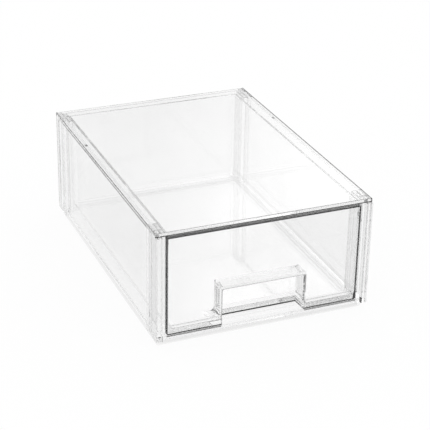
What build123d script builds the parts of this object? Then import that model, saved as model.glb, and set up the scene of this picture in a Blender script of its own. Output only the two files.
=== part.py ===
# Stackable drawer box: a clear tray-like drawer that slides in an open-fronted clear case.
# Units are millimetres. X runs across the front, -Y is the front, +Z is up.
# The origin is the middle of the underside of the stacking rim's outline, at the height of its foot.
import os

from build123d import *

os.makedirs("parts", exist_ok=True)

# --- Case: overall sizes ---
CASE_WIDTH = 165.0
CASE_DEPTH = 235.0
CASE_HEIGHT = 89.0

# --- Top panel ---
TOP_THICKNESS = 3.0
PLATE_SETBACK = 2.2        # front edges of the top and bottom panels, behind the posts' front faces
TOP_EDGE_ROUND = 0.6

# --- Bottom panel with its stacking rim ---
BASE_THICKNESS = 2.8
RIM_HEIGHT = 5.0
RIM_WALL = 2.6
RIM_INSET_END = 4.6        # rim's outer face, in from the case's front and back; flush at the sides
RIM_CORNER_ROUND = 1.5

# --- Corner posts ---
POST_WIDTH = 4.7           # outer block, across the case
POST_DEPTH = 20.0          # outer block, along the case
GUIDE_WIDTH = 3.3          # inner leg that guides the drawer
GUIDE_SETBACK = 3.6        # inner leg's free face, behind the block's free face
CHANNEL_START = 9.6        # shallow channel in the outer face, from the block's free face
CHANNEL_WIDTH = 8.0
CHANNEL_DEPTH = 0.8
POST_EDGE_ROUND = 0.5

# --- Tenons at the posts' ends, in pockets of the top and bottom panels ---
TENON_LENGTH = 8.0
TENON_HEIGHT = 1.6
TENON_SHOULDER = 0.4       # material left between a tenon and the faces beside it
POCKET_EXTRA_DEPTH = 0.2

# --- Side and back panels ---
SIDE_THICKNESS = 2.0
SIDE_INSET = 2.1           # outer face of a side panel, in from the posts' outer faces
TONGUE_LENGTH = 1.9        # side panel's end, let into the post
BACK_THICKNESS = 2.0

# --- Fits ---
JOINT_CLEARANCE = 0.1      # round tenons and tongues
SEAT_GAP = 0.05            # film of glue where one piece of the case stands on another
DRAWER_FLOOR_GAP = 0.1
DRAWER_SIDE_GAP = 0.4      # each side, drawer to guide leg
DRAWER_TOP_GAP = 1.7
DRAWER_BACK_GAP = 1.0

# --- Drawer ---
FRONT_THICKNESS = 3.0
FRONT_CORNER_ROUND = 1.5
FRONT_EDGE_ROUND = 0.5
WALL_THICKNESS = 2.0
FLOOR_THICKNESS = 2.0
INNER_ROUND = 7.0          # inside, floor to walls and floor to the pull's hump
TRAY_REAR_ROUND = 3.0      # upright corners at the tray's rear, outside

# --- Finger pull: a pocket in the drawer front, open towards the front and below ---
PULL_WIDTH = 64.2
PULL_HEIGHT = 28.5         # above the drawer's underside
PULL_DEPTH = 12.8          # from the front face to the pocket's back wall
PULL_DRAFT_SIDE = 1.1      # each side, from the mouth to the back wall
PULL_DRAFT_TOP = 0.6
PULL_CORNER_ROUND = 1.8

# --- Places that follow from the sizes above ---
half_width = CASE_WIDTH / 2
front_y = -CASE_DEPTH / 2
back_y = CASE_DEPTH / 2
base_top = RIM_HEIGHT + BASE_THICKNESS
case_top = CASE_HEIGHT - TOP_THICKNESS
block_foot = RIM_HEIGHT + SEAT_GAP
wall_foot = base_top + SEAT_GAP
wall_head = case_top - SEAT_GAP
plate_front_y = front_y + PLATE_SETBACK
side_outer_x = half_width - SIDE_INSET
side_inner_x = side_outer_x - SIDE_THICKNESS
block_inner_x = half_width - POST_WIDTH
guide_inner_x = block_inner_x - GUIDE_WIDTH
back_panel_front_y = back_y - GUIDE_SETBACK + SEAT_GAP
back_panel_back_y = back_panel_front_y + BACK_THICKNESS
side_panel_end_y = CASE_DEPTH / 2 - POST_DEPTH

# Tenon centres: the upper one stands on the outer block, the lower one under the guide leg.
tenon_y = CASE_DEPTH / 2 - CHANNEL_START - TENON_LENGTH / 2
upper_tenon_width = POST_WIDTH - CHANNEL_DEPTH - 2 * TENON_SHOULDER
upper_tenon_x = half_width - CHANNEL_DEPTH - TENON_SHOULDER - upper_tenon_width / 2
lower_tenon_width = GUIDE_WIDTH - 2 * TENON_SHOULDER
lower_tenon_x = block_inner_x - GUIDE_WIDTH / 2
pocket_depth = TENON_HEIGHT + POCKET_EXTRA_DEPTH
pocket_length = TENON_LENGTH + 2 * JOINT_CLEARANCE

# The drawer's own outline.
drawer_half = guide_inner_x - DRAWER_SIDE_GAP
drawer_bottom = base_top + DRAWER_FLOOR_GAP
drawer_top = case_top - DRAWER_TOP_GAP
drawer_height = drawer_top - drawer_bottom
drawer_front_y = plate_front_y
tray_front_y = drawer_front_y + FRONT_THICKNESS
drawer_back_y = back_panel_front_y - DRAWER_BACK_GAP
tray_length = drawer_back_y - tray_front_y
cavity_length = tray_length - WALL_THICKNESS
cavity_mid_y = tray_front_y + cavity_length / 2
outer_round = INNER_ROUND + WALL_THICKNESS
pull_back_y = drawer_front_y + PULL_DEPTH


# --- Top panel: one flat sheet that lies on the posts, the side panels and the back panel ---
with BuildPart() as top_panel:
    with BuildSketch(Plane.XY.offset(case_top)):
        with Locations((0, (plate_front_y + back_y) / 2)):
            Rectangle(CASE_WIDTH, back_y - plate_front_y)
    extrude(amount=TOP_THICKNESS)
    upper_face = top_panel.faces().sort_by(Axis.Z)[-1]
    fillet(upper_face.edges(), TOP_EDGE_ROUND)
    with BuildSketch(Plane.XY.offset(case_top)):
        with GridLocations(2 * upper_tenon_x, 2 * tenon_y, 2, 2):
            Rectangle(upper_tenon_width + 2 * JOINT_CLEARANCE, pocket_length)
    extrude(amount=pocket_depth, mode=Mode.SUBTRACT)

# --- Bottom panel: a sheet notched round the posts, in one moulding with the rim below it ---
with BuildPart() as bottom_panel:
    with BuildSketch(Plane.XY.offset(RIM_HEIGHT)):
        with Locations((0, (plate_front_y + back_panel_back_y) / 2)):
            Rectangle(2 * side_outer_x, back_panel_back_y - plate_front_y)
        with GridLocations(CASE_WIDTH, CASE_DEPTH, 2, 2):
            Rectangle(
                2 * (POST_WIDTH + JOINT_CLEARANCE),
                2 * (POST_DEPTH + JOINT_CLEARANCE),
                mode=Mode.SUBTRACT,
            )
    extrude(amount=BASE_THICKNESS)
    with BuildSketch():
        RectangleRounded(
            2 * side_outer_x,
            CASE_DEPTH - 2 * RIM_INSET_END,
            RIM_CORNER_ROUND,
        )
        Rectangle(
            2 * (side_outer_x - RIM_WALL),
            CASE_DEPTH - 2 * (RIM_INSET_END + RIM_WALL),
            mode=Mode.SUBTRACT,
        )
    extrude(amount=RIM_HEIGHT)
    with BuildSketch(Plane.XY.offset(base_top)):
        with GridLocations(2 * lower_tenon_x, 2 * tenon_y, 2, 2):
            Rectangle(lower_tenon_width + 2 * JOINT_CLEARANCE, pocket_length)
    extrude(amount=-pocket_depth, mode=Mode.SUBTRACT)

# --- Rear right post: an outer block on the rim, with a guide leg that stands on the bottom panel ---
with BuildPart() as rear_right_post:
    with BuildSketch(Plane.XY.offset(block_foot)):
        with Locations((half_width, back_y)):
            Rectangle(POST_WIDTH, POST_DEPTH, align=(Align.MAX, Align.MAX))
    extrude(amount=wall_head - block_foot)
    free_edges = rear_right_post.faces().sort_by(Axis.Y)[-1].edges().filter_by(Axis.Z)
    fillet(free_edges, POST_EDGE_ROUND)
    with BuildSketch(Plane.XY.offset(wall_foot)):
        with Locations((block_inner_x, back_y - GUIDE_SETBACK)):
            Rectangle(GUIDE_WIDTH, POST_DEPTH - GUIDE_SETBACK, align=(Align.MAX, Align.MAX))
    extrude(amount=wall_head - wall_foot)
    with BuildSketch(Plane.XY.offset(block_foot)):
        with Locations((half_width, back_y - CHANNEL_START)):
            Rectangle(CHANNEL_DEPTH, CHANNEL_WIDTH, align=(Align.MAX, Align.MAX))
    extrude(amount=wall_head - block_foot, mode=Mode.SUBTRACT)
    with BuildSketch(Plane.XY.offset(wall_foot)):
        with Locations((side_outer_x + JOINT_CLEARANCE, side_panel_end_y)):
            Rectangle(
                SIDE_THICKNESS + 2 * JOINT_CLEARANCE,
                TONGUE_LENGTH + JOINT_CLEARANCE,
                align=(Align.MAX, Align.MIN),
            )
    extrude(amount=wall_head - wall_foot, mode=Mode.SUBTRACT)
    with BuildSketch(Plane.XY.offset(wall_head)):
        with Locations((upper_tenon_x, tenon_y)):
            Rectangle(upper_tenon_width, TENON_LENGTH)
    extrude(amount=TENON_HEIGHT)
    with BuildSketch(Plane.XY.offset(wall_foot)):
        with Locations((lower_tenon_x, tenon_y)):
            Rectangle(lower_tenon_width, TENON_LENGTH)
    extrude(amount=-TENON_HEIGHT)

# --- The other three posts are the same moulding, turned to face their own corner ---
with BuildPart() as rear_left_post:
    add(mirror(rear_right_post.part, about=Plane.YZ))

with BuildPart() as front_right_post:
    add(mirror(rear_right_post.part, about=Plane.XZ))

with BuildPart() as front_left_post:
    add(mirror(rear_left_post.part, about=Plane.XZ))

# --- Right side panel: a thin sheet that stands on the bottom panel between two grooved posts ---
with BuildPart() as right_side_panel:
    with BuildSketch(Plane.XY.offset(wall_foot)):
        with Locations(((side_outer_x + side_inner_x) / 2, 0)):
            Rectangle(SIDE_THICKNESS, 2 * (side_panel_end_y + TONGUE_LENGTH))
    extrude(amount=wall_head - wall_foot)

with BuildPart() as left_side_panel:
    add(mirror(right_side_panel.part, about=Plane.YZ))

# --- Back panel: a thin sheet behind the rear posts' guide legs ---
with BuildPart() as back_panel:
    with BuildSketch(Plane.XY.offset(wall_foot)):
        with Locations((0, (back_panel_front_y + back_panel_back_y) / 2)):
            Rectangle(2 * (block_inner_x - JOINT_CLEARANCE), BACK_THICKNESS)
    extrude(amount=wall_head - wall_foot)

# --- Drawer: a deep tray in one moulding with its flat front and its finger pull ---
with BuildPart() as drawer:
    # the tray's outside, rounded along the bottom and at the back
    with BuildSketch(Plane.XY.offset(drawer_bottom)):
        with Locations((0, (tray_front_y + drawer_back_y) / 2)):
            Rectangle(2 * drawer_half, tray_length)
    extrude(amount=drawer_height)
    tray_rear = drawer.edges().filter_by(Axis.Z).group_by(Axis.Y)[-1]
    fillet(tray_rear, TRAY_REAR_ROUND)
    under_edges = drawer.faces().sort_by(Axis.Z)[0].edges()
    rounded_under = under_edges.sort_by(Axis.Y)[1:]
    fillet(rounded_under, outer_round)
    # the flat front plate
    with BuildSketch(Plane.XZ.offset(-drawer_front_y)):
        with Locations((0, drawer_bottom + drawer_height / 2)):
            RectangleRounded(2 * drawer_half, drawer_height, FRONT_CORNER_ROUND)
    extrude(amount=-FRONT_THICKNESS)
    front_face = drawer.faces().sort_by(Axis.Y)[0]
    fillet(front_face.edges(), FRONT_EDGE_ROUND)

# the room inside the tray, less the hump over the finger pull
with BuildPart() as cavity:
    with BuildSketch(Plane.XY.offset(drawer_bottom + FLOOR_THICKNESS)):
        with Locations((0, cavity_mid_y)):
            Rectangle(2 * (drawer_half - WALL_THICKNESS), cavity_length)
    extrude(amount=drawer_height)
    with BuildSketch(Plane.XY.offset(drawer_bottom)):
        with Locations((0, tray_front_y)):
            Rectangle(
                PULL_WIDTH - 2 * PULL_DRAFT_SIDE + 2 * WALL_THICKNESS,
                2 * (PULL_DEPTH + WALL_THICKNESS - FRONT_THICKNESS),
            )
    extrude(amount=PULL_HEIGHT - PULL_DRAFT_TOP + WALL_THICKNESS, mode=Mode.SUBTRACT)
    cavity_rear = cavity.edges().filter_by(Axis.Z).group_by(Axis.Y)[-1]
    fillet(cavity_rear, TRAY_REAR_ROUND - WALL_THICKNESS)
    cavity_under = cavity.faces().sort_by(Axis.Z)[0].edges()
    fillet(cavity_under, INNER_ROUND)

with BuildPart() as pull_void:
    with BuildSketch(Plane.XZ.offset(-drawer_front_y)):
        with Locations((0, drawer_bottom)):
            Rectangle(PULL_WIDTH, PULL_HEIGHT, align=(Align.CENTER, Align.MIN))
    with BuildSketch(Plane.XZ.offset(-pull_back_y)):
        with Locations((0, drawer_bottom)):
            Rectangle(
                PULL_WIDTH - 2 * PULL_DRAFT_SIDE,
                PULL_HEIGHT - PULL_DRAFT_TOP,
                align=(Align.CENTER, Align.MIN),
            )
    loft(ruled=True)
    upper_corners = pull_void.edges().filter_by(lambda e: e.length < PULL_DEPTH * 1.1)
    fillet(upper_corners.group_by(Axis.Z)[-1], PULL_CORNER_ROUND)

with drawer:
    add(cavity.part, mode=Mode.SUBTRACT)
    add(pull_void.part, mode=Mode.SUBTRACT)

# --- Names and files ---
top_panel.part.label = "top_panel"
bottom_panel.part.label = "bottom_panel"
back_panel.part.label = "back_panel"
left_side_panel.part.label = "left_side_panel"
right_side_panel.part.label = "right_side_panel"
front_left_post.part.label = "front_left_post"
front_right_post.part.label = "front_right_post"
rear_left_post.part.label = "rear_left_post"
rear_right_post.part.label = "rear_right_post"
drawer.part.label = "drawer"

export_step(top_panel.part, "parts/top_panel.step")
export_step(bottom_panel.part, "parts/bottom_panel.step")
export_step(back_panel.part, "parts/back_panel.step")
export_step(left_side_panel.part, "parts/left_side_panel.step")
export_step(right_side_panel.part, "parts/right_side_panel.step")
export_step(front_left_post.part, "parts/front_left_post.step")
export_step(front_right_post.part, "parts/front_right_post.step")
export_step(rear_left_post.part, "parts/rear_left_post.step")
export_step(rear_right_post.part, "parts/rear_right_post.step")
export_step(drawer.part, "parts/drawer.step")
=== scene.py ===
import math

import bmesh
import bpy
from mathutils import Matrix, Vector

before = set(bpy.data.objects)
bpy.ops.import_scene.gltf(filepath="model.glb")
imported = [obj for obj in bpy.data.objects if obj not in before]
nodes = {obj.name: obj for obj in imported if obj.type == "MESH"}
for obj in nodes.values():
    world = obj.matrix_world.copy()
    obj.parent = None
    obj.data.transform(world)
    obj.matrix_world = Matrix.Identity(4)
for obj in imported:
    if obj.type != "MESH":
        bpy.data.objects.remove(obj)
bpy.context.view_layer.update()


# --- Bottom panel and stacking rim ---
# The piece that everything else stands on: a 2.8 mm clear sheet, notched at its corners for the posts, in one
# moulding with the 5 mm rim below it. It is injection moulded crystal polystyrene, and it lies loose on the
# table or in place on the box below.

def linear(hex_colour):
    """An sRGB hex colour as linear red, green, blue and 1."""
    values = [int(hex_colour[i:i + 2], 16) / 255 for i in (0, 2, 4)]
    return tuple(v / 12.92 if v <= 0.04045 else ((v + 0.055) / 1.055) ** 2.4 for v in values) + (1.0,)


def add_node(tree, kind, settings=None, links=None):
    """Adds a node to a tree, with values for its properties or sockets and links into its sockets."""
    node = tree.nodes.new(kind)
    for name, value in (settings or {}).items():
        if isinstance(name, int) or name in node.inputs:
            node.inputs[name].default_value = value
        else:
            setattr(node, name, value)
    for name, source in (links or {}).items():
        tree.links.new(source, node.inputs[name])
    return node


POLYSTYRENE_IOR = 1.59
MM_PER_METRE = 1000.0
CLOUD_NOISE = (0.35, 0.65)      # the noise's values at the clear and at the hazy colour
HAIR_SPACING = 0.4              # mm between scratches
HAIR_LENGTH = 25.0              # mm
HAIR_NOISE = (0.66, 0.74)       # only the noise's peaks become scratches
SCRATCH_ROUGH = 0.08
# the colour of the painted shade on edges that bend light away
PAINTED_EDGE_SHADE = "050505"


def clear_polystyrene(name, clear, hazy, haze_size, density):
    """Crystal polystyrene from a polished mould: water clear, with hard bright reflections.

    The eye gets three things from it. Each sheet that the light passes takes a little away, in soft clouds
    where the melt flowed (haze_size, mm). The mass greys long light paths a little (density, per metre).
    Handling leaves hair scratches along the box. They are drawn 0.4 mm apart, coarser than real, to show.
    Returns the material with its shader, the clear colour, and the surface's place in mm, plain and mirrored.
    """
    made = bpy.data.materials.new(name)
    made.use_nodes = True
    tree = made.node_tree
    tree.nodes.clear()
    coordinates = add_node(tree, "ShaderNodeTexCoord")
    place = add_node(tree, "ShaderNodeVectorMath", {"operation": "SCALE", "Scale": MM_PER_METRE},
                     {0: coordinates.outputs["Object"]})
    mirrored = add_node(tree, "ShaderNodeVectorMath", {"operation": "ABSOLUTE"}, {0: place.outputs[0]})
    axes = add_node(tree, "ShaderNodeSeparateXYZ", links={0: place.outputs[0]})
    mirrored_axes = add_node(tree, "ShaderNodeSeparateXYZ", links={0: mirrored.outputs[0]})

    clouds = add_node(tree, "ShaderNodeTexNoise", {"Scale": 1 / haze_size, "Detail": 2.0, "Roughness": 0.5},
                      {"Vector": place.outputs[0]})
    cloud_share = add_node(tree, "ShaderNodeMapRange", {
        "From Min": CLOUD_NOISE[0], "From Max": CLOUD_NOISE[1]},
        {"Value": clouds.outputs["Fac"]})
    body_colour = add_node(tree, "ShaderNodeMix", {"data_type": "RGBA", 6: linear(clear), 7: linear(hazy)},
                           {0: cloud_share.outputs[0]})

    stretched = add_node(tree, "ShaderNodeMapping", {
        "Scale": (1 / HAIR_SPACING, 1 / HAIR_LENGTH, 1 / HAIR_SPACING)}, {"Vector": place.outputs[0]})
    hairs = add_node(tree, "ShaderNodeTexNoise", {"Scale": 1.0, "Detail": 1.0},
                     {"Vector": stretched.outputs[0]})
    hair_rough = add_node(tree, "ShaderNodeMapRange", {
        "From Min": HAIR_NOISE[0], "From Max": HAIR_NOISE[1], "To Min": 0.0, "To Max": SCRATCH_ROUGH},
        {"Value": hairs.outputs["Fac"]})

    shader = add_node(tree, "ShaderNodeBsdfPrincipled", {"IOR": POLYSTYRENE_IOR, "Transmission Weight": 1.0},
                      {"Base Color": body_colour.outputs[2], "Roughness": hair_rough.outputs[0]})
    mass = add_node(tree, "ShaderNodeVolumeAbsorption", {"Color": linear("000000"), "Density": density})
    add_node(tree, "ShaderNodeOutputMaterial", links={
        "Surface": shader.outputs[0], "Volume": mass.outputs[0]})
    return made, shader, body_colour.outputs[2], axes.outputs, mirrored_axes.outputs


def strip(tree, shade, *spans):
    """A strip of a surface, between planes in mm on each given axis, that gets a share of painted shade."""
    inside = None
    for along, low, high in spans:
        span = add_node(tree, "ShaderNodeMath", {
            "operation": "COMPARE", 1: (low + high) / 2, 2: (high - low) / 2}, {0: along})
        if inside is not None:
            span = add_node(tree, "ShaderNodeMath", {"operation": "MINIMUM"},
                            {0: inside.outputs[0], 1: span.outputs[0]})
        inside = span
    return add_node(tree, "ShaderNodeMath", {"operation": "MULTIPLY", 1: shade},
                    {0: inside.outputs[0]}).outputs[0]


def shade_edges(tree, shader, body_colour, strips):
    """Paints shade into the clear colour in the strips, where cut and rounded edges look dark as they bend
    light away.
    """
    deepest = strips[0]
    for other in strips[1:]:
        deepest = add_node(tree, "ShaderNodeMath", {"operation": "MAXIMUM"},
                           {0: deepest, 1: other}).outputs[0]
    mixed = add_node(tree, "ShaderNodeMix", {"data_type": "RGBA", 7: linear(PAINTED_EDGE_SHADE)},
                     {0: deepest, 6: body_colour})
    tree.links.new(mixed.outputs[2], shader.inputs["Base Color"])


def dress(node_name, material):
    """Gives a CAD node its finish."""
    mesh = nodes[node_name].data
    mesh.materials.clear()
    mesh.materials.append(material)


CASE_HALF_DEPTH = 117.5
PLATE_FRONT_Y = -115.3          # front edges of the two panels
BASE_TOP = 7.8
RIM_TOP = 5.0
BASE_SIDE_X = 80.4
DRAWER_HALF_WIDTH = 74.1
PULL_HALF_WIDTH = 32.1
OVER = 0.1                      # a strip reaches this far past the face that it colours

base_clear, base_shader, base_body, base_axes, base_mirror = clear_polystyrene(
    "clear_polystyrene_base", clear="FFFFFF", hazy="FDFDFD", haze_size=45.0, density=0.6)
base_tree = base_clear.node_tree
shade_edges(base_tree, base_shader, base_body, [
    # painted shade on the sheet's front edge, under the drawer's front at both sides of the pull
    strip(base_tree, 0.9, (base_axes[1], -CASE_HALF_DEPTH, PLATE_FRONT_Y + 2 * OVER),
          (base_axes[2], BASE_TOP - 1.2, BASE_TOP + OVER),
          (base_mirror[0], PULL_HALF_WIDTH + 0.5, DRAWER_HALF_WIDTH)),
    # painted shade on the rim, which greys it against the sheet; kept off the sheet's underside
    strip(base_tree, 0.16, (base_axes[2], -OVER, RIM_TOP - OVER)),
    # painted shade on the sheet's side edges, along their top
    strip(base_tree, 0.10, (base_mirror[0], BASE_SIDE_X - OVER, BASE_SIDE_X + OVER),
          (base_axes[2], BASE_TOP - 0.8, BASE_TOP + OVER)),
])
dress("bottom_panel", base_clear)


# --- Corner posts ---
# Four mouldings of the same clear polystyrene, which join the sheets: a block outside, a guide leg for the
# drawer inside, and a shallow channel down the outer face. Each is pushed into pockets of the two panels.

CASE_HALF_WIDTH = 82.5
GUIDE_INNER_X = 74.5            # the guide leg's face beside the drawer
BLOCK_INNER_X = 77.8            # the outer block's face on the same side
GUIDE_CORNER_Y = (-114.5, -112.0)
MARK_HEIGHT = 45.0
MARK_REACH = 0.8
MARK_X = (74.0, 80.5)
MARK_Y = (108.5, 111.0)
FOOT_X = (77.1, 78.4)
FOOT_Y = (-118.0, -115.0)
FOOT_Z = (5.0, 9.5)
HEAD_Z = (85.6, 90.0)
HEAD_DARK = 0.8
HEAD_LINES_ACROSS = ((74.0, 75.1), (77.3, 78.4), (80.7, 81.5))    # at the sides of leg, block and tenon
HEAD_LINES_ALONG = ((97.4, 98.4), (107.4, 108.6))                 # at the ends of block and tenon

post_clear, post_shader, post_body, post_axes, post_mirror = clear_polystyrene(
    "clear_polystyrene_post", clear="FEFEFE", hazy="FBFBFB", haze_size=12.0, density=1.5)
post_tree = post_clear.node_tree
post_heads = (post_mirror[2], *HEAD_Z)
shade_edges(post_tree, post_shader, post_body, [
    # painted shade on the guide leg's face beside the drawer; on its front corner, at the right only; on the
    # block's inner face
    strip(post_tree, 0.35, (post_mirror[0], GUIDE_INNER_X - 0.5, GUIDE_INNER_X + 0.4)),
    strip(post_tree, 0.8, (post_axes[0], GUIDE_INNER_X - OVER, GUIDE_INNER_X + 0.5),
          (post_axes[1], *GUIDE_CORNER_Y)),
    strip(post_tree, 0.25, (post_mirror[0], BLOCK_INNER_X - 0.4, BLOCK_INNER_X + 0.3)),
    # painted dark lines of shade on the upper ends, which are seen through the top panel
    *(strip(post_tree, HEAD_DARK, post_heads, (post_mirror[0], *line)) for line in HEAD_LINES_ACROSS),
    *(strip(post_tree, HEAD_DARK, post_heads, (post_mirror[1], *line)) for line in HEAD_LINES_ALONG),
    # painted shade at the foot of the front blocks, on their inner face
    strip(post_tree, 1.0, (post_axes[2], *FOOT_Z), (post_axes[1], *FOOT_Y), (post_mirror[0], *FOOT_X)),
    # painted shade for the small mark half way up
    strip(post_tree, 0.6, (post_mirror[0], *MARK_X),
          (post_mirror[2], MARK_HEIGHT - MARK_REACH, MARK_HEIGHT + MARK_REACH), (post_mirror[1], *MARK_Y)),
])
for post in ("front_left_post", "front_right_post", "rear_left_post", "rear_right_post"):
    dress(post, post_clear)


# --- Side panels ---
# Two plain 2 mm clear sheets, each with its ends let into the grooves of two posts. Their grey, the deepest
# of
# all the pieces, is painted shade: the side wall is seen greyer than the front.

# the side panels' grey is painted shade
side_shaded_clear, *_ = clear_polystyrene(
    "clear_polystyrene_side_shaded", clear="F7F7F7", hazy="F4F4F4", haze_size=45.0, density=0.6)
dress("left_side_panel", side_shaded_clear)
dress("right_side_panel", side_shaded_clear)


# --- Back panel ---
# A plain 2 mm clear sheet behind the guide legs of the rear posts. It is seen only through the drawer and the
# top panel, so its grey is painted shade too, a guess between those of the side panels and the drawer.

back_shaded_clear, *_ = clear_polystyrene(
    "clear_polystyrene_back_shaded", clear="FCFCFC", hazy="FAFAFA", haze_size=45.0, density=0.6)
dress("back_panel", back_shaded_clear)


# --- Top panel ---
# A 3 mm clear sheet that lies on the posts and panels, with its upper edges rounded. Painted shade draws a
# dark line along its lower edge at the left, along its upper edge at the right, and across its front.

top_clear, top_shader, top_body, top_axes, top_mirror = clear_polystyrene(
    "clear_polystyrene_top", clear="FFFFFF", hazy="FEFEFE", haze_size=60.0, density=0.6)
top_tree = top_clear.node_tree
POST_LENGTH = 20.0
TOP_UNDERSIDE = 86.0
TOP_FACE = 89.0
CORNER_LENGTH = 2.0
shade_edges(top_tree, top_shader, top_body, [
    # painted shade on the lower edge at the left, between the posts
    strip(top_tree, 0.95, (top_axes[0], -CASE_HALF_WIDTH - OVER, 0.5 - CASE_HALF_WIDTH),
          (top_mirror[1], 0.0, CASE_HALF_DEPTH - POST_LENGTH),
          (top_axes[2], TOP_UNDERSIDE - OVER, TOP_UNDERSIDE + 1.1)),
    # painted shade on the upper edge at the right
    strip(top_tree, 0.95, (top_axes[0], CASE_HALF_WIDTH - 1.5, CASE_HALF_WIDTH + OVER),
          (top_axes[2], TOP_FACE - 0.7, TOP_FACE + OVER)),
    # painted shade on the lower part of the front edge
    strip(top_tree, 1.0, (top_axes[1], PLATE_FRONT_Y - 2 * OVER, PLATE_FRONT_Y + 2 * OVER),
          (top_axes[2], TOP_UNDERSIDE - OVER, TOP_UNDERSIDE + 0.75)),
    # painted shade at the front right and the rear left corner
    strip(top_tree, 0.9, (top_axes[0], CASE_HALF_WIDTH - 0.9, CASE_HALF_WIDTH + OVER),
          (top_axes[1], PLATE_FRONT_Y - OVER, PLATE_FRONT_Y + CORNER_LENGTH)),
    strip(top_tree, 0.9, (top_axes[0], -CASE_HALF_WIDTH - OVER, 0.6 - CASE_HALF_WIDTH),
          (top_axes[1], CASE_HALF_DEPTH - CORNER_LENGTH, CASE_HALF_DEPTH + OVER)),
])
dress("top_panel", top_clear)


# --- Drawer ---
# One deep moulding, the last piece to go in: tray, flat front and finger pull. Painted shade draws a black
# line round its front's rim and along its lower edge, and a greyer, uneven one round the mouth of the pull.

drawer_clear, drawer_shader, drawer_body, drawer_axes, drawer_mirror = clear_polystyrene(
    "clear_polystyrene_drawer", clear="FFFFFF", hazy="FDFDFD", haze_size=35.0, density=0.6)
drawer_tree = drawer_clear.node_tree
FRONT_FACE_Y = -115.3
FRONT_BACK_Y = -112.3
FRONT_FOOT = 7.9
FRONT_HEAD = 84.3
PULL_HEAD = 36.4
PULL_MIDDLE = 22.0
PULL_BACK_Y = -102.5
PULL_BACK_HALF_WIDTH = 31.2
# the sizes of the dark lines of painted shade on the drawer
RIM_LINE = 0.8          # how far the dark line reaches in from the left and the upper edge
RIM_LINE_RIGHT = 1.4    # and from the right edge
FOOT_LINE = 1.2         # and up from the lower edge
FOOT_CLEAR = 0.02       # keeps that line off the underside
MOUTH_IN = 0.5          # how far the lines of the pull's mouth reach into the pull
MOUTH_OUT = 0.9         # and out of it
MOUTH_TOP = 0.6         # and to each side of its upper edge
FACE_DEPTH = 0.45       # how deep a line on the front's face reaches into its edges
ROUNDING_TOP = (14.0, 17.0)
ROUNDING_FOOT = (8.6, 11.0)
front_plate = (drawer_axes[1], FRONT_FACE_Y - OVER, FRONT_BACK_Y + OVER)
front_face = (drawer_axes[1], FRONT_FACE_Y - OVER, FRONT_FACE_Y + FACE_DEPTH)
foot_line = (drawer_axes[2], FRONT_FOOT + FOOT_CLEAR, FRONT_FOOT + FOOT_LINE)
pull_height = (drawer_axes[2], FRONT_FOOT, PULL_HEAD)
shade_edges(drawer_tree, drawer_shader, drawer_body, [
    # painted shade round the front's rim: above, below, left and right
    strip(drawer_tree, 1.0, front_plate, (drawer_axes[2], FRONT_HEAD - RIM_LINE, FRONT_HEAD + OVER)),
    strip(drawer_tree, 1.0, front_face, foot_line),
    strip(drawer_tree, 1.0, front_plate,
          (drawer_axes[0], -DRAWER_HALF_WIDTH - OVER, RIM_LINE - DRAWER_HALF_WIDTH)),
    strip(drawer_tree, 1.0, front_plate,
          (drawer_axes[0], DRAWER_HALF_WIDTH - RIM_LINE_RIGHT, DRAWER_HALF_WIDTH + OVER)),
    # painted shade at the foot of the pull's back wall
    strip(drawer_tree, 1.0, (drawer_axes[1], PULL_BACK_Y - 0.3, PULL_BACK_Y + OVER), foot_line,
          (drawer_mirror[0], 0.0, PULL_BACK_HALF_WIDTH)),
    # a trace of painted shade over the whole front, which greys it against the tray
    strip(drawer_tree, 0.03, front_plate, (drawer_axes[2], FRONT_FOOT, FRONT_HEAD)),
    # painted shade on the rounding below the side walls, near its top and near its foot
    strip(drawer_tree, 0.22, (drawer_mirror[0], DRAWER_HALF_WIDTH - 0.6, DRAWER_HALF_WIDTH + OVER),
          (drawer_axes[2], *ROUNDING_TOP)),
    strip(drawer_tree, 0.22, (drawer_mirror[0], DRAWER_HALF_WIDTH - 6.0, DRAWER_HALF_WIDTH + OVER),
          (drawer_axes[2], *ROUNDING_FOOT)),
    # painted shade round the pull's mouth: both sides, the left one darker, the right one darker above its
    # middle, and the top
    strip(drawer_tree, 0.3, front_face,
          (drawer_mirror[0], PULL_HALF_WIDTH - MOUTH_IN, PULL_HALF_WIDTH + MOUTH_OUT), pull_height),
    strip(drawer_tree, 0.7, front_face,
          (drawer_axes[0], -PULL_HALF_WIDTH - MOUTH_OUT, MOUTH_IN - PULL_HALF_WIDTH), pull_height),
    strip(drawer_tree, 0.85, front_face,
          (drawer_axes[0], PULL_HALF_WIDTH - MOUTH_IN, PULL_HALF_WIDTH + MOUTH_OUT),
          (drawer_axes[2], PULL_MIDDLE, PULL_HEAD)),
    strip(drawer_tree, 0.6, front_face, (drawer_mirror[0], 0.0, PULL_HALF_WIDTH + MOUTH_IN),
          (drawer_axes[2], PULL_HEAD - MOUTH_TOP, PULL_HEAD + MOUTH_TOP)),
])
dress("drawer", drawer_clear)


# --- Floor ---
# A sheet of white paper, as under the object in the photo. It reaches past every view, takes the box's
# shadow, and is lifted towards white where it is looked at, mirrored or seen through the box.

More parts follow.
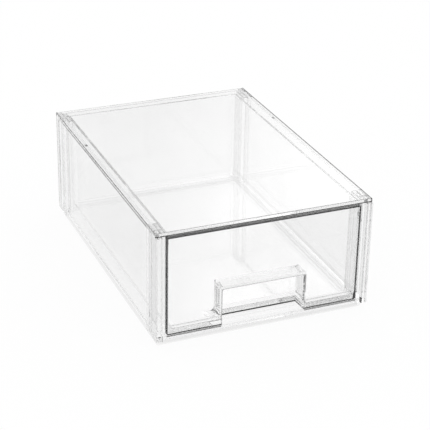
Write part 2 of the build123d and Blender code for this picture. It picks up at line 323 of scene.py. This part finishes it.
FLOOR_HALF = 6.0
floor_mesh = bmesh.new()
bmesh.ops.create_grid(floor_mesh, x_segments=1, y_segments=1, size=FLOOR_HALF)
floor_data = bpy.data.meshes.new("floor")
floor_mesh.to_mesh(floor_data)
floor_mesh.free()
floor = bpy.data.objects.new("floor", floor_data)
bpy.context.scene.collection.objects.link(floor)
paper = bpy.data.materials.new("white_paper_floor")
paper.use_nodes = True
paper.node_tree.nodes.clear()
FLOOR_LIFT = 0.95
paper_tree = paper.node_tree
paper_body = add_node(paper_tree, "ShaderNodeBsdfDiffuse", {"Color": linear("FDFDFD")})
paper_glow = add_node(paper_tree, "ShaderNodeEmission", {"Color": linear("FFFFFF"), "Strength": 1.0})
floor_ray = add_node(paper_tree, "ShaderNodeLightPath")
seen_or_mirrored = add_node(paper_tree, "ShaderNodeMath", {"operation": "MAXIMUM"}, {
    0: floor_ray.outputs["Is Camera Ray"], 1: floor_ray.outputs["Is Glossy Ray"]})
seen_anyhow = add_node(paper_tree, "ShaderNodeMath", {"operation": "MAXIMUM"}, {
    0: seen_or_mirrored.outputs[0], 1: floor_ray.outputs["Is Transmission Ray"]})
lift = add_node(paper_tree, "ShaderNodeMath", {"operation": "MULTIPLY", 1: FLOOR_LIFT}, {
    0: seen_anyhow.outputs[0]})
paper_mix = add_node(paper_tree, "ShaderNodeMixShader", links={
    0: lift.outputs[0], 1: paper_body.outputs[0], 2: paper_glow.outputs[0]})
add_node(paper_tree, "ShaderNodeOutputMaterial", links={"Surface": paper_mix.outputs[0]})
floor_data.materials.append(paper)


# --- Light ---
# A white light tent, which lights the box softly from all round. Behind the box it has one darker and one
# brighter patch, which the top panel mirrors: greyer at the left, white at the right, as in the photo.

world = bpy.data.worlds.new("studio")
bpy.context.scene.world = world
world.use_nodes = True
world_tree = world.node_tree
world_tree.nodes.clear()
direction = add_node(world_tree, "ShaderNodeTexCoord")
TENT_BRIGHTNESS = 1.0
tent_level = None
for centre, reach, change in (
    ((0.227, 0.912, 0.342), 0.36, -0.25),    # the tent's darker wall, behind and to the left
    ((0.494, 0.732, 0.470), 0.26, 0.90),     # a soft box behind and to the right
):
    away = add_node(world_tree, "ShaderNodeVectorMath", {"operation": "DISTANCE", 1: centre},
                    {0: direction.outputs["Generated"]})
    patch = add_node(world_tree, "ShaderNodeMapRange", {
        "interpolation_type": "SMOOTHSTEP",
        "From Min": 0.0, "From Max": reach, "To Min": change, "To Max": 0.0},
        {"Value": away.outputs["Value"]})
    tent = add_node(world_tree, "ShaderNodeMath", {"operation": "ADD", 0: TENT_BRIGHTNESS},
                    {1: patch.outputs[0]})
    if tent_level is not None:
        world_tree.links.new(tent_level, tent.inputs[0])
    tent_level = tent.outputs[0]
lit = add_node(world_tree, "ShaderNodeBackground", {"Color": (1, 1, 1, 1)}, {"Strength": tent_level})
add_node(world_tree, "ShaderNodeOutputWorld", links={"Surface": lit.outputs[0]})

# Light that is caught between the faces of a clear sheet meets them dozens of times before it leaves: with 32
# bounces, parts of the picture turn darker.
BOUNCES = 160
bpy.context.scene.cycles.max_bounces = BOUNCES
bpy.context.scene.cycles.transmission_bounces = BOUNCES
bpy.context.scene.cycles.glossy_bounces = BOUNCES


# --- Camera ---
# The photo's own camera, solved from the straight edges of the object: from the front, a little to the left
# and above, at 1.1 m. Its focal length and lens shift are in pixels of the photo's 430 pixel side.

AZIMUTH = math.radians(22.83)
ELEVATION = math.radians(26.12)
ROLL = math.radians(1.11)
FOCAL_PIXELS = 1410.8
PHOTO_SIDE = 430
SENSOR_WIDTH = 36.0
CAMERA_PLACE = Vector((-0.3735, -0.9106, 0.5188))
HALF_PIXEL = 0.5 / PHOTO_SIDE

forward = Vector((
    math.cos(ELEVATION) * math.sin(AZIMUTH),
    math.cos(ELEVATION) * math.cos(AZIMUTH),
    -math.sin(ELEVATION),
))
level_right = Vector((math.cos(AZIMUTH), -math.sin(AZIMUTH), 0.0))
level_up = level_right.cross(forward)
right = level_right * math.cos(ROLL) + level_up * math.sin(ROLL)
up = level_up * math.cos(ROLL) - level_right * math.sin(ROLL)

camera_data = bpy.data.cameras.new("photo_camera")
camera_data.sensor_width = SENSOR_WIDTH
camera_data.lens = SENSOR_WIDTH * FOCAL_PIXELS / PHOTO_SIDE
camera_data.shift_x = -HALF_PIXEL
camera_data.shift_y = HALF_PIXEL
camera = bpy.data.objects.new("photo_camera", camera_data)
bpy.context.scene.collection.objects.link(camera)
camera.matrix_world = Matrix.Translation(CAMERA_PLACE) @ Matrix((right, up, -forward)).transposed().to_4x4()
bpy.context.scene.camera = camera
bpy.context.scene.view_settings.view_transform = "Standard"
